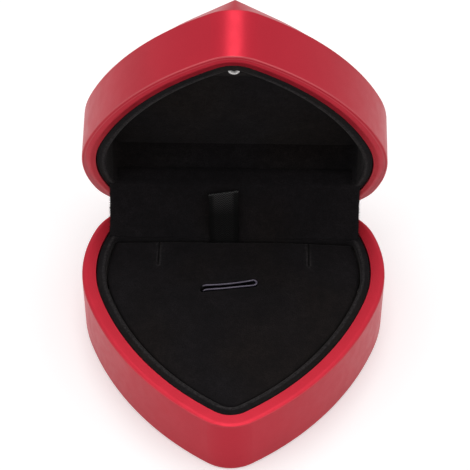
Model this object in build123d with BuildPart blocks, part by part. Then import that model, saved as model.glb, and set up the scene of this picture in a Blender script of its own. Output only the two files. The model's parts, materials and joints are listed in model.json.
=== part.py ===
from build123d import *
from math import acos, asin, cos, degrees, hypot, radians, sin, sqrt, tan
import os

os.makedirs("parts", exist_ok=True)

# A heart-shaped jewellery box, standing open. Millimetres, +Z up, the tip towards -Y.
# The origin is on the underside, on the middle line, where the heart is widest.

# Heart outline, seen from above
box_width = 80.0
lobe_radius = 34.6
side_radius = 76.0
side_start = 20.8
tip_radius = 11.0
shoulder_radius = 14.0
cleft_depth = 6.6
cleft_corner_radius = 8.0
cleft_root_radius = 2.5

# Hinge axis: behind the widest line, behind the flat rear, and how far the lid stands open
hinge_reach = 22.2
axis_setback = 0.3
open_angle = 74.8

# Shells
base_height = 17.9
base_floor = 2.0
lid_height = 13.7
lid_top = 1.2
rim_width = 3.65
parting_gap = 0.25
rim_rounding = 0.4
foot_rounding = 0.8

# Raised heart on the lid: sides that slope up from the lid's edge to a sharp-tipped flat
crown_foot = 0.5
crown_inset = 5.5
crown_height = 5.0
crown_wall = 1.4
crown_land = 2.8
crown_point = 52.0

# Flocked liners
liner_gap = 0.25
lip_width = 2.4
lip_drop = 0.3
lip_rounding = 0.35
base_reach = 11.6
base_rear_wall = 0.8
lid_reach = 11.7
lid_rear_wall = 0.8
rear_lean = 2.2
tray_corner = 3.0
liner_floor = 1.0
liner_ceiling = 0.9

# Pad that carries the jewel, and the well under it
insert_gap = 0.4
insert_rear_gap = 1.0
insert_drop = 0.2
card_thickness = 1.5
pad_thickness = 7.4
pad_crown_radius = 700.0
pad_rounding = 1.2
ledge_width = 2.5

# Ring slot and its binding, chain slits
slot_length = 13.4
slot_opening = 0.9
slot_turn = 8.5
slot_x = -1.2
slot_y = -6.1
edging_wall = 0.45
edging_depth = 3.0
edging_rise = 0.15
edging_clearance = 0.05
slot_depth = 6.0
slit_x = 20.0
slit_length = 10.1
slit_width = 1.2

# Velvet flap and ribbon tab
flap_side_gap = 0.9
flap_thickness = 0.8
flap_bow = 0.8
flap_seat_gap = 0.4
ribbon_width = 6.5
ribbon_thickness = 0.5
ribbon_x = -2.5
ribbon_length = 12.8
ribbon_flap_gap = 0.3
ribbon_bend = 1.0
ribbon_tail = 7.0

# Hinges, one in the middle of each flat of the rear
hinge_width = 12.0
leaf_thickness = 0.8
leaf_flange = 8.0
leaf_seat_gap = 0.05
knuckle_radius = 1.2
knuckle_gap = 0.3
lid_knuckle = 4.4
pin_radius = 0.6
pin_clearance = 0.04
pin_head_radius = 0.95
pin_head = 0.3
washer_radius = 1.1
washer_thickness = 0.3
washer_gap = 0.05

# Screws
screw_radius = 0.6
screw_length = 3.6
screw_clearance = 0.05
screw_head_radius = 1.1
screw_head = 0.7
screw_slot = 0.3
screw_spread = 3.6
screw_drop = 5.0

# Lamp in the tip of the lid
lamp_inset = 1.4
lamp_radius = 0.9
lamp_length = 5.0
lamp_sink = 0.4
lamp_dome = 0.54
lamp_clearance = 0.05
bezel_radius = 1.6
bezel_length = 5.4
bezel_rise = 0.3
deck_depth = 0.9
deck_margin = 2.4

# Circuit board with its coin cell and switch, behind the lid liner
board_end_gap = 1.6
board_height = 9.6
board_spacing = 0.2
board_edge = 1.6
board_thickness = 1.0
board_screw_inset = 1.5
board_screw_length = 3.0
cell_radius = 4.75
cell_thickness = 2.7
cell_rounding = 0.2
clip_thickness = 0.4
clip_width = 4.0
clip_room = 0.1
switch_width = 5.0
switch_depth = 3.5
switch_height = 5.0
plunger_radius = 0.8
plunger_travel = 1.2
plunger_inside = 1.6
plunger_clearance = 0.08
plunger_rounding = 0.4
striker_width = 3.0
striker_length = 4.0
striker_thickness = 1.5
striker_drop = 0.5
striker_gap = 0.1

# Wires from the board to the lamp
wire_radius = 0.35
wire_pitch = 1.0
wire_bend = 0.9
wire_hole_radius = 1.2
wire_end_depth = 8.6

# Worked-out places. A half's own frame has its origin on the hinge axis:
# x along the axis, y to the rear and z away from the rims of the closed box.
hinge_z = base_height + parting_gap / 2
rim_level = parting_gap / 2
lip_level = rim_level + lip_drop
lobe_centre = (box_width / 2 - lobe_radius, -hinge_reach)
side_swing = side_radius - lobe_radius
side_centre = (
    lobe_centre[0] - side_swing * cos(radians(side_start)),
    lobe_centre[1] + side_swing * sin(radians(side_start)),
)
tip_centre = (0, side_centre[1] - sqrt((side_radius - tip_radius) ** 2 - side_centre[0] ** 2))
tip_start = degrees(acos(-side_centre[0] / (side_radius - tip_radius)))
wall_face = -(axis_setback + rim_width)
liner_inset = rim_width + liner_gap
base_liner_rear = -(base_reach - base_rear_wall)
lid_liner_rear = -(lid_reach - lid_rear_wall)
lid_liner_corner = tray_corner + lid_rear_wall
pocket_inset = liner_inset + lip_width
insert_inset = pocket_inset + insert_gap
insert_rear = -(base_reach + insert_rear_gap)
card_level = base_height - insert_drop - pad_thickness - card_thickness - hinge_z
pad_level = card_level + card_thickness
pad_top = pad_level + pad_thickness
lid_inside = rim_level + lid_height - lid_top
lid_ceiling = lid_inside - liner_ceiling
board_face = lid_liner_rear + board_thickness
lamp_reach = tip_radius - tip_centre[1] - pocket_inset - lamp_inset
cleft_spread = cleft_corner_radius + cleft_root_radius
cleft_rise = cleft_spread - cleft_depth
cleft_corner_x = sqrt(cleft_spread**2 - cleft_rise**2)


# Planes and outlines

def level(turn, height):
    """Plane parallel to the rims of a half that is turned open, at a height above its hinge axis."""
    up = (0, sin(radians(turn)), cos(radians(turn)))
    return Plane(origin=(0, hinge_reach, hinge_z), x_dir=(1, 0, 0), z_dir=up).offset(height)


def section(turn, x):
    """Plane across the hinge axis at x: its first axis runs to the rear, its second away from the rims."""
    rear = (0, cos(radians(turn)), -sin(radians(turn)))
    return Plane(origin=(x, hinge_reach, hinge_z), x_dir=rear, z_dir=(1, 0, 0))


def rear_plane(turn, place):
    """Plane parallel to the rear wall: x as the box's, y towards the other half, facing the rear."""
    rear = Vector(0, cos(radians(turn)), -sin(radians(turn)))
    return Plane(origin=Vector(0, hinge_reach, hinge_z) + rear * place, x_dir=(1, 0, 0), z_dir=rear)


def front_edges(inset, lobe_end):
    """Right-hand arcs from the lobe round to the tip, drawn inside the outer face by the inset."""
    CenterArc(lobe_centre, lobe_radius - inset, -side_start, side_start + lobe_end)
    CenterArc(side_centre, side_radius - inset, -tip_start, tip_start - side_start)
    CenterArc(tip_centre, tip_radius - inset, -90, 90 - tip_start)


def shoulder(inset, rear, corner):
    """Centre and start angle of the arc that turns the lobe into a straight rear edge."""
    reach = lobe_radius - inset - corner
    angle = asin((rear - corner - lobe_centre[1]) / reach)
    return (lobe_centre[0] + reach * cos(angle), rear - corner), degrees(angle)


def rear_edges(inset):
    """Right-hand shoulder, flat rear and cleft of the whole heart; gives the lobe's end angle."""
    rear = -axis_setback - inset
    centre, angle = shoulder(inset, rear, shoulder_radius - inset)
    CenterArc(centre, shoulder_radius - inset, angle, 90 - angle)
    Line((centre[0], rear), (cleft_corner_x, rear))
    corner_centre = (cleft_corner_x, -axis_setback - cleft_corner_radius)
    cleft_turn = degrees(acos(cleft_rise / cleft_spread))
    CenterArc(corner_centre, cleft_corner_radius - inset, 90, cleft_turn)
    root_centre = (0, corner_centre[1] + cleft_rise)
    CenterArc(root_centre, cleft_root_radius + inset, -90, cleft_turn)
    return angle


def heart(inset):
    """The whole heart, drawn inside the shells' outer face by the inset."""
    with BuildSketch() as face:
        with BuildLine():
            front_edges(inset, rear_edges(inset))
            mirror(about=Plane.YZ)
        make_face()
    return face.sketch


def pointed_heart(inset):
    """The heart with a sharp tip: straight edges from the side arcs meet on the middle line."""
    with BuildSketch() as face:
        with BuildLine():
            lobe_end = rear_edges(inset)
            CenterArc(lobe_centre, lobe_radius - inset, -side_start, side_start + lobe_end)
            side = CenterArc(side_centre, side_radius - inset, -crown_point, crown_point - side_start)
            low = side @ 0
            Line(low, (0, low.Y - low.X / tan(radians(crown_point))))
            mirror(about=Plane.YZ)
        make_face()
    return face.sketch


def tray(inset, rear, corner):
    """The front of the heart, closed by a straight rear edge with rounded corners."""
    with BuildSketch() as face:
        with BuildLine():
            centre, angle = shoulder(inset, rear, corner)
            Line((0, rear), (centre[0], rear))
            CenterArc(centre, corner, angle, 90 - angle)
            front_edges(inset, angle)
            mirror(about=Plane.YZ)
        make_face()
    return face.sketch


def save(piece, name):
    """Label a finished piece and write it."""
    piece.part.label = name
    export_step(piece.part, f"parts/{name}.step")


# Hinges: each has a leaf on the base with two knuckles, a leaf on the lid with one, a pin and two washers.
# A side of -1 is the base, below the axis; +1 is the lid.

flat_end = shoulder(0, -axis_setback, shoulder_radius)[0][0]
hinge_x = (cleft_corner_x + flat_end) / 2
hinge_places = {"left": -hinge_x, "right": hinge_x}
base_knuckle = (hinge_width - lid_knuckle) / 2 - washer_thickness - 2 * washer_gap
knuckles = {
    -1: [(-hinge_width / 2, base_knuckle), (hinge_width / 2 - base_knuckle, base_knuckle)],
    1: [(-lid_knuckle / 2, lid_knuckle)],
}
turns = {-1: 0, 1: open_angle}
screw_columns = [x + offset for x in hinge_places.values() for offset in (-screw_spread, screw_spread)]


def hinge_leaf(side, x):
    """A plate let into the rim, a flange against the inner wall, and the knuckles round the pin."""
    turn = turns[side]
    flange_front = wall_face - leaf_thickness
    plate_end = -(knuckle_radius + knuckle_gap)
    plate_mid = side * (rim_level + leaf_thickness / 2)
    screw_row = -side * (rim_level + screw_drop)
    with BuildPart() as leaf:
        with BuildSketch(section(turn, x - hinge_width / 2)):
            with Locations(((flange_front + plate_end) / 2, plate_mid)):
                Rectangle(plate_end - flange_front, leaf_thickness)
            with Locations((wall_face - leaf_thickness / 2, side * (rim_level + leaf_flange / 2))):
                Rectangle(leaf_thickness, leaf_flange)
        extrude(amount=hinge_width)
        for start, length in knuckles[side]:
            with BuildSketch(section(turn, x + start)):
                Circle(knuckle_radius)
                with Locations((flange_front / 2, plate_mid)):
                    Rectangle(-flange_front, leaf_thickness)
                Circle(pin_radius + pin_clearance, mode=Mode.SUBTRACT)
            extrude(amount=length)
        with BuildSketch(rear_plane(turn, flange_front)):
            with Locations(*[(x + offset, screw_row) for offset in (-screw_spread, screw_spread)]):
                Circle(screw_radius + screw_clearance)
        extrude(amount=leaf_thickness, mode=Mode.SUBTRACT)
    return leaf


def hinge_seats(side):
    """Room in a shell for the barrels, the leaves and the screws of both hinges."""
    turn = turns[side]
    room = knuckle_radius + knuckle_gap
    barrel_length = hinge_width + 2 * (pin_head + knuckle_gap)
    plate_length = hinge_width + 2 * leaf_seat_gap
    plate_depth = leaf_thickness + leaf_seat_gap
    flange_room = leaf_thickness + screw_head + leaf_seat_gap
    flange_length = leaf_flange + leaf_seat_gap
    with BuildPart() as seats:
        for x in hinge_places.values():
            with BuildSketch(section(turn, x - barrel_length / 2)):
                Circle(room)
            extrude(amount=barrel_length)
            with BuildSketch(section(turn, x - plate_length / 2)):
                with Locations((wall_face / 2, side * (rim_level + plate_depth / 2))):
                    Rectangle(-wall_face, plate_depth)
                with Locations((wall_face - flange_room / 2, side * (rim_level + flange_length / 2))):
                    Rectangle(flange_room, flange_length)
            extrude(amount=plate_length)
        with BuildSketch(rear_plane(turn, wall_face)):
            with Locations(*[(x, -side * (rim_level + screw_drop)) for x in screw_columns]):
                Circle(screw_radius + screw_clearance)
        extrude(amount=screw_length - leaf_thickness + screw_clearance)
    return seats.part


def screws(plane, places, length):
    """Slotted pan-head screws, their heads standing on the plane and their shanks behind it."""
    with BuildPart() as group:
        with BuildSketch(plane):
            with Locations(*places):
                Circle(screw_radius)
        extrude(amount=length)
        with BuildSketch(plane):
            with Locations(*places):
                Circle(screw_head_radius)
        extrude(amount=-screw_head)
        with BuildSketch(plane.offset(-screw_head)):
            with Locations(*places):
                Rectangle(2 * screw_head_radius, screw_slot)
        extrude(amount=screw_slot, mode=Mode.SUBTRACT)
    return group


for half, side in (("base", -1), ("lid", 1)):
    for name, x in hinge_places.items():
        save(hinge_leaf(side, x), f"{half}_hinge_leaf_{name}")
    screw_places = [(x, -side * (rim_level + screw_drop)) for x in screw_columns]
    flange_plane = rear_plane(turns[side], wall_face - leaf_thickness)
    save(screws(flange_plane, screw_places, screw_length), f"{half}_hinge_screws")

for name, x in hinge_places.items():
    with BuildPart() as hinge_pin:
        with BuildSketch(section(0, x - hinge_width / 2 - pin_head)):
            Circle(pin_radius)
        extrude(amount=hinge_width + 2 * pin_head)
        for end in (x - hinge_width / 2 - pin_head, x + hinge_width / 2):
            with BuildSketch(section(0, end)):
                Circle(pin_head_radius)
            extrude(amount=pin_head)
    save(hinge_pin, f"hinge_pin_{name}")

with BuildPart() as friction_washers:
    for x in hinge_places.values():
        for start in (-lid_knuckle / 2 - washer_gap - washer_thickness, lid_knuckle / 2 + washer_gap):
            with BuildSketch(section(0, x + start)):
                Circle(washer_radius)
                Circle(pin_radius + pin_clearance, mode=Mode.SUBTRACT)
            extrude(amount=washer_thickness)
save(friction_washers, "friction_washers")

# Base shell

base_seats = hinge_seats(-1)
with BuildPart() as base_shell:
    with BuildSketch(level(0, -hinge_z)):
        add(heart(0))
    extrude(amount=base_height)
    with BuildSketch(level(0, base_floor - hinge_z)):
        add(heart(rim_width))
    extrude(amount=base_height - base_floor, mode=Mode.SUBTRACT)
    fillet(base_shell.faces().sort_by(Axis.Z)[-1].outer_wire().edges(), rim_rounding)
    fillet(base_shell.faces().sort_by(Axis.Z)[0].edges(), foot_rounding)
    add(base_seats, mode=Mode.SUBTRACT)
save(base_shell, "base_shell")

# Base liner: a tray with a ledge for the insert, a well under it and the tab that works the switch

board_end = shoulder(liner_inset, lid_liner_rear, lid_liner_corner)[0][0] - board_end_gap
switch_x = board_end - switch_width / 2
well_level = base_floor + liner_floor - hinge_z
with BuildPart() as base_liner:
    with BuildSketch(level(0, base_floor - hinge_z)):
        add(tray(liner_inset, base_liner_rear, tray_corner + base_rear_wall))
    extrude(amount=-lip_level - (base_floor - hinge_z))
    with BuildSketch(level(0, card_level)):
        add(tray(pocket_inset, -base_reach, tray_corner))
    extrude(amount=-lip_level - card_level, mode=Mode.SUBTRACT)
    fillet(base_liner.faces().sort_by(Axis.Z)[-1].edges(), lip_rounding)
    with BuildSketch(level(0, well_level)):
        add(tray(pocket_inset + ledge_width, -(base_reach + ledge_width), tray_corner))
    extrude(amount=card_level - well_level, mode=Mode.SUBTRACT)
    striker_top = -(rim_level + striker_drop)
    with BuildSketch(level(0, striker_top - striker_thickness)):
        with Locations((switch_x, base_liner_rear + striker_length / 2)):
            Rectangle(striker_width, striker_length)
    extrude(amount=striker_thickness)
save(base_liner, "base_liner")

# Insert: a card and a crowned velvet pad, cut by the ring slot and the chain slits

insert_face = tray(insert_inset, insert_rear, tray_corner)
slit_places = [(side * slit_x, insert_rear - slit_length / 2) for side in (-1, 1)]
with BuildPart() as insert_card:
    with BuildSketch(level(0, card_level)):
        add(insert_face)
        with Locations(*slit_places):
            Rectangle(slit_width, slit_length, mode=Mode.SUBTRACT)
    extrude(amount=card_thickness)
save(insert_card, "insert_card")

slot_place = (slot_x, slot_y - hinge_reach)
with BuildPart() as insert_pad:
    with BuildSketch(level(0, pad_level)):
        add(insert_face)
    extrude(amount=pad_thickness)
    pad_middle = insert_pad.part.center().Y
    with Locations((0, pad_middle, pad_top + hinge_z - pad_crown_radius)):
        Sphere(pad_crown_radius, mode=Mode.INTERSECT)
    fillet(insert_pad.faces().sort_by(Axis.Z)[-1].edges(), pad_rounding)
    with BuildSketch(level(0, pad_level)):
        with Locations(*slit_places):
            Rectangle(slit_width, slit_length)
    extrude(amount=pad_thickness, mode=Mode.SUBTRACT)
    with BuildSketch(level(0, pad_top - slot_depth)):
        with Locations(Location((slot_place[0], slot_place[1], 0), (0, 0, slot_turn))):
            SlotCenterToCenter(slot_length, slot_opening + 2 * (edging_wall + edging_clearance))
    extrude(amount=slot_depth, mode=Mode.SUBTRACT)
save(insert_pad, "insert_pad")

with BuildPart() as slot_edging:
    with BuildSketch(level(0, pad_top - edging_depth)):
        with Locations(Location((slot_place[0], slot_place[1], 0), (0, 0, slot_turn))):
            SlotCenterToCenter(slot_length, slot_opening + 2 * edging_wall)
            SlotCenterToCenter(slot_length, slot_opening, mode=Mode.SUBTRACT)
    extrude(amount=edging_depth + edging_rise)
save(slot_edging, "slot_edging")

# Hinge flap: a bowed velvet strip from the base liner's rear wall to the lid liner's

flap_start = (-(base_reach - base_rear_wall / 2), -lip_level + flap_seat_gap)
wall_x = lobe_centre[0] + sqrt((lobe_radius - rim_width) ** 2 - (flap_start[0] - lobe_centre[1]) ** 2)
flap_width = 2 * (wall_x - flap_side_gap)
lid_end = (-(lid_reach - lid_rear_wall / 2), lip_level - flap_seat_gap)
flap_top = section(0, 0).to_local_coords(section(open_angle, 0).from_local_coords(lid_end))
with BuildPart() as hinge_flap:
    with BuildSketch(section(0, -flap_width / 2)):
        with BuildLine():
            SagittaArc(flap_start, (flap_top.X, flap_top.Y), -flap_bow)
        trace(line_width=flap_thickness)
    extrude(amount=flap_width)
save(hinge_flap, "hinge_flap")

# Ribbon tab: glued up the rear of the insert, then leaning on the flap

chord = (flap_top.X - flap_start[0], flap_top.Y - flap_start[1])
chord_length = hypot(*chord)
lean = (chord[0] / chord_length, chord[1] / chord_length)
ribbon_offset = flap_thickness / 2 + ribbon_flap_gap + ribbon_thickness / 2
ribbon_v = insert_rear + ribbon_thickness / 2
lean_v = flap_start[0] - lean[1] * ribbon_offset
lean_w = flap_start[1] + lean[0] * ribbon_offset
ribbon_turn = (ribbon_v, lean_w + (ribbon_v - lean_v) * lean[1] / lean[0])
ribbon_low = (ribbon_v, ribbon_turn[1] - ribbon_tail)
ribbon_top = (ribbon_v + lean[0] * ribbon_length, ribbon_turn[1] + lean[1] * ribbon_length)
with BuildPart() as ribbon_tab:
    with BuildSketch(section(0, ribbon_x - ribbon_width / 2)):
        with BuildLine():
            FilletPolyline(ribbon_low, ribbon_turn, ribbon_top, radius=ribbon_bend)
        trace(line_width=ribbon_thickness)
    extrude(amount=ribbon_width)
save(ribbon_tab, "ribbon_tab")

# Lid shell, with holes for the wires under the crown

clip_half = cell_radius + clip_room + clip_thickness
cell_x = board_end - switch_width - board_spacing - clip_half
wire_room = wire_radius + wire_pitch / 2 + board_spacing
wire_start_x = cell_x - clip_half - wire_room
lid_seats = hinge_seats(1)
lid_up = Axis((0, 0, 0), (0, sin(radians(open_angle)), cos(radians(open_angle))))
wire_start = (wire_start_x, board_face + wire_radius)
wire_holes = [wire_start, (0, -lamp_reach)]
with BuildPart() as lid_shell:
    with BuildSketch(level(open_angle, rim_level)):
        add(heart(0))
    extrude(amount=lid_height)
    with BuildSketch(level(open_angle, rim_level)):
        add(heart(rim_width))
    extrude(amount=lid_height - lid_top, mode=Mode.SUBTRACT)
    fillet(lid_shell.faces().sort_by(lid_up)[0].outer_wire().edges(), rim_rounding)
    fillet(lid_shell.faces().sort_by(lid_up)[-1].edges(), rim_rounding)
    add(lid_seats, mode=Mode.SUBTRACT)
    with BuildSketch(level(open_angle, lid_inside)):
        with Locations(*wire_holes):
            Circle(wire_hole_radius)
    extrude(amount=lid_top, mode=Mode.SUBTRACT)
save(lid_shell, "lid_shell")

# Crown: a raised heart with sloping sides and a sharp tip, hollow underneath

crown_level = rim_level + lid_height
with BuildPart() as lid_crown:
    with BuildSketch(level(open_angle, crown_level)):
        add(heart(crown_foot))
    with BuildSketch(level(open_angle, crown_level + crown_height)):
        add(pointed_heart(crown_inset))
    loft(ruled=True)
    with BuildSketch(level(open_angle, crown_level)):
        add(heart(crown_foot + crown_land))
    with BuildSketch(level(open_angle, crown_level + crown_height - crown_wall)):
        add(pointed_heart(crown_inset + crown_wall))
    loft(ruled=True, mode=Mode.SUBTRACT)
save(lid_crown, "lid_crown")

# Lid liner: a tray whose rear wall leans in, with a solid deck in the tip for the lamp

board_start = wire_start_x - wire_room - screw_head_radius - board_screw_inset
deck_level = lip_level + deck_depth
lamp_place = (0, -lamp_reach)
board_screw_level = lid_ceiling - board_screw_inset - screw_head_radius
board_screw_places = [
    (board_start + board_screw_inset, -board_screw_level),
    (board_end - board_screw_inset, -board_screw_level),
]
with BuildPart() as lid_cavity:
    with BuildSketch(level(open_angle, lip_level)):
        add(tray(pocket_inset, -lid_reach, tray_corner))
    with BuildSketch(level(open_angle, lid_ceiling)):
        add(tray(pocket_inset, -(lid_reach + rear_lean), tray_corner))
    loft(ruled=True)
    with BuildSketch(level(open_angle, deck_level)):
        with Locations((0, -(lamp_reach - deck_margin) - box_width / 2)):
            Rectangle(box_width, box_width)
    extrude(amount=lid_height, mode=Mode.SUBTRACT)

with BuildPart() as lid_liner:
    with BuildSketch(level(open_angle, lip_level)):
        add(tray(liner_inset, lid_liner_rear, lid_liner_corner))
    extrude(amount=lid_inside - lip_level)
    add(lid_cavity.part, mode=Mode.SUBTRACT)
    fillet(lid_liner.faces().sort_by(lid_up)[0].edges(), lip_rounding)
    with BuildSketch(level(open_angle, lip_level)):
        with Locations(lamp_place):
            Circle(bezel_radius + lamp_clearance)
    extrude(amount=lid_inside - lip_level, mode=Mode.SUBTRACT)
    with BuildSketch(rear_plane(open_angle, lid_liner_rear)):
        with Locations(*board_screw_places):
            Circle(screw_radius + screw_clearance)
    extrude(amount=-(board_screw_length - board_thickness), mode=Mode.SUBTRACT)
save(lid_liner, "lid_liner")

# Lamp and its bezel

bezel_level = deck_level - bezel_rise
lamp_level = bezel_level + lamp_sink
with BuildPart() as led_bezel:
    with BuildSketch(level(open_angle, bezel_level)):
        with Locations(lamp_place):
            Circle(bezel_radius)
            Circle(lamp_radius + lamp_clearance, mode=Mode.SUBTRACT)
    extrude(amount=bezel_length)
    fillet(led_bezel.faces().sort_by(lid_up)[0].outer_wire().edges(), bezel_rise)
save(led_bezel, "led_bezel")

with BuildPart() as led_lamp:
    with BuildSketch(level(open_angle, lamp_level)):
        with Locations(lamp_place):
            Circle(lamp_radius)
    extrude(amount=lamp_length)
    fillet(led_lamp.faces().sort_by(lid_up)[0].edges(), lamp_dome)
save(led_lamp, "led_lamp")

# Circuit board, coin cell, clip and switch

board_level = rim_level + board_edge
with BuildPart() as circuit_board:
    with BuildSketch(level(open_angle, board_level)):
        with Locations(((board_start + board_end) / 2, board_face - board_thickness / 2)):
            Rectangle(board_end - board_start, board_thickness)
    extrude(amount=board_height)
    with BuildSketch(rear_plane(open_angle, board_face)):
        with Locations(*board_screw_places):
            Circle(screw_radius + screw_clearance)
    extrude(amount=-board_thickness, mode=Mode.SUBTRACT)
save(circuit_board, "circuit_board")

board_screw_plane = Plane(
    origin=rear_plane(open_angle, board_face).origin,
    x_dir=(-1, 0, 0),
    z_dir=-rear_plane(open_angle, board_face).z_dir,
)
save(screws(board_screw_plane, [(-x, y) for x, y in board_screw_places], board_screw_length), "board_screws")

cell_level = board_level + cell_radius
with BuildPart() as coin_cell:
    with BuildSketch(rear_plane(open_angle, board_face)):
        with Locations((cell_x, -cell_level)):
            Circle(cell_radius)
    extrude(amount=cell_thickness)
    fillet(coin_cell.faces().filter_by(GeomType.CYLINDER).edges(), cell_rounding)
save(coin_cell, "coin_cell")

clip_rise = cell_thickness + clip_room + clip_thickness
with BuildPart() as cell_clip:
    with BuildSketch(level(open_angle, cell_level - clip_width / 2)):
        with Locations((cell_x, board_face + clip_rise / 2)):
            Rectangle(2 * clip_half, clip_rise)
        with Locations((cell_x, board_face + (clip_rise - clip_thickness) / 2)):
            Rectangle(2 * (clip_half - clip_thickness), clip_rise - clip_thickness, mode=Mode.SUBTRACT)
    extrude(amount=clip_width)
save(cell_clip, "cell_clip")

plunger_place = (switch_x, board_face + switch_depth / 2)
with BuildPart() as switch_body:
    with BuildSketch(level(open_angle, board_level)):
        with Locations(plunger_place):
            Rectangle(switch_width, switch_depth)
    extrude(amount=switch_height)
    with BuildSketch(level(open_angle, board_level)):
        with Locations(plunger_place):
            Circle(plunger_radius + plunger_clearance)
    extrude(amount=plunger_inside + plunger_travel + plunger_clearance, mode=Mode.SUBTRACT)
save(switch_body, "switch_body")

plunger_tip = striker_top + striker_gap - plunger_travel
with BuildPart() as switch_plunger:
    with BuildSketch(level(open_angle, plunger_tip)):
        with Locations(plunger_place):
            Circle(plunger_radius)
    extrude(amount=board_level + plunger_inside - plunger_tip)
    fillet(switch_plunger.faces().sort_by(lid_up)[0].edges(), plunger_rounding)
save(switch_plunger, "switch_plunger")

# Wires: up from the board, under the crown to the tip, and down to the lamp

wire_level = crown_level + (crown_height - crown_wall) / 2
lid_frame = level(open_angle, 0)
with BuildPart() as led_wires:
    for offset in (-wire_pitch / 2, wire_pitch / 2):
        route = [
            (wire_start[0] + offset, wire_start[1], cell_level),
            (wire_start[0] + offset, wire_start[1], wire_level),
            (offset, -lamp_reach, wire_level),
            (offset, -lamp_reach, wire_end_depth),
        ]
        with BuildLine() as path:
            FilletPolyline(*[lid_frame.from_local_coords(point) for point in route], radius=wire_bend)
        with BuildSketch(path.line ^ 0):
            Circle(wire_radius)
        sweep(path=path.line)
save(led_wires, "led_wires")
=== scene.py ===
import json
import math

import bmesh
import bpy
import numpy as np
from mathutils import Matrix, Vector, geometry, noise


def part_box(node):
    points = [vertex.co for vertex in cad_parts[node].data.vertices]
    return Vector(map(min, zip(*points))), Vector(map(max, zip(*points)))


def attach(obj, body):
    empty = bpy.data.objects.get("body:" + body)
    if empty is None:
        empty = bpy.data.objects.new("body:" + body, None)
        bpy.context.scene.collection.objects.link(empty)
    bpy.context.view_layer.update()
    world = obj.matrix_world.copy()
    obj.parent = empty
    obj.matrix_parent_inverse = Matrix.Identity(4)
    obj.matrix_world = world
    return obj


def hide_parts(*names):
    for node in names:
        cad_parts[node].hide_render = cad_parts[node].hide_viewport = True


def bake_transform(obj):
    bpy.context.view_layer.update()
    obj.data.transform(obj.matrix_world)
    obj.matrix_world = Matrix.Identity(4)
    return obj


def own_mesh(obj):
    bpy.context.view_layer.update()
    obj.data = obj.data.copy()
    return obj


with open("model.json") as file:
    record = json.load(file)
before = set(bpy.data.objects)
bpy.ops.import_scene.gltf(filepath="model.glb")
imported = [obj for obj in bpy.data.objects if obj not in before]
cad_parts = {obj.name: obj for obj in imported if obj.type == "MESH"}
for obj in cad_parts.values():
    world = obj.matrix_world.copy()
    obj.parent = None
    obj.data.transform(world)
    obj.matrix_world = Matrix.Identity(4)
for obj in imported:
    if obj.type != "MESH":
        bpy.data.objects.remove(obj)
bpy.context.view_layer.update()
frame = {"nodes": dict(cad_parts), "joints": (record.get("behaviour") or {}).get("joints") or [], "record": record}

# Sizes are in millimetres and meshes in metres. The tip of the heart points to -Y and the lid stands open.
MM = 0.001

# Heart outline: lobe, side and tip arcs, as the solids have them
BOX_WIDTH = 80.0
LOBE_RADIUS = 34.6
SIDE_RADIUS = 76.0
SIDE_START = 20.8
TIP_RADIUS = 11.0
LOBE_X = BOX_WIDTH / 2 - LOBE_RADIUS
SIDE_SWING = SIDE_RADIUS - LOBE_RADIUS
SIDE_X = LOBE_X - SIDE_SWING * math.cos(math.radians(SIDE_START))
SIDE_Y = SIDE_SWING * math.sin(math.radians(SIDE_START))
TIP_Y = SIDE_Y - math.sqrt((SIDE_RADIUS - TIP_RADIUS) ** 2 - SIDE_X**2)
TIP_START = math.degrees(math.acos(-SIDE_X / (SIDE_RADIUS - TIP_RADIUS)))

# Cushion: its rear edge swells, except where the ribbon holds it in
CUSHION_INSET = 6.7
CUSHION_CORNER = 0.8
CUSHION_ROUNDING = 0.6
CUSHION_CROWN_RADIUS = 700.0
CUSHION_SINK = 0.1
CUSHION_DRAW_IN = 0.25
CUSHION_SIDES = [(0.6, 0.3), (0.3, 0.8), (0.0, 1.0)]  # share of the height, and of the draw-in
CUSHION_WAVES = [(0.10, 11, 3.7), (0.04, 3.5, 8.1)]  # height, size and seed
REAR_BULGE = 0.3
REAR_RISE = 0.3
REAR_BULGE_REACH = 3.5
RIBBON_HOLD = 0.45
RIBBON_HOLD_SHARE = 1.6

# Ring slot and chain slits of the cushion
SLOT_PLACE = (-1.2, -6.1)
SLOT_TURN = math.radians(8.5)
SLOT_LENGTH = 13.4
SLOT_WIDTH = 1.9
SLOT_DEPTH = 6.0
SLOT_ROUNDING = 0.45
SLIT_X = 20.0
SLIT_WIDTH = 0.12
SLIT_LENGTH = 8.0
SLIT_ROUNDING = 0.15
SLIT_LIP = 0.42
SLIT_LIP_RISE = 0.1
SLIT_LIP_HALF = 0.2
# Painted sheen on the slits' raised lips: how much paler their pile is painted, down to this depth below the top
SLIT_SHEEN = 0.7
SLIT_SHEEN_DEPTH = 1.5

# Mesh of the cushion's top: its outlines, rows along its edge and its cuts, and a grid clear of both
OUTLINE_SPACING = 0.6
OUTLINE_FINE = 0.15
SLOT_SPACING = 0.4
REAR_LINE = 0.01
SLIT_TRIM = 0.05
SLIT_CLEAR = 0.12
SLIT_MOUTH = 2.4
EDGE_ROWS = (0.1, 0.3, 0.6, 0.95, 1.4, 2.1)
EDGE_ROW_SPACING = 0.7
EDGE_ROW_CORNER = 0.1
CUT_ROWS = (0.08, 0.2, 0.38, 0.7)
SLOT_ROW_SPACING = 0.5
SLIT_ROW_SPACING = 0.6
SLIT_ROW_TURN = (-170, -10)
GRID_STEP = 1.1
GRID_TO_EDGE = 2.6
GRID_TO_CUT = 1.2
WELD = 0.001

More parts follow.
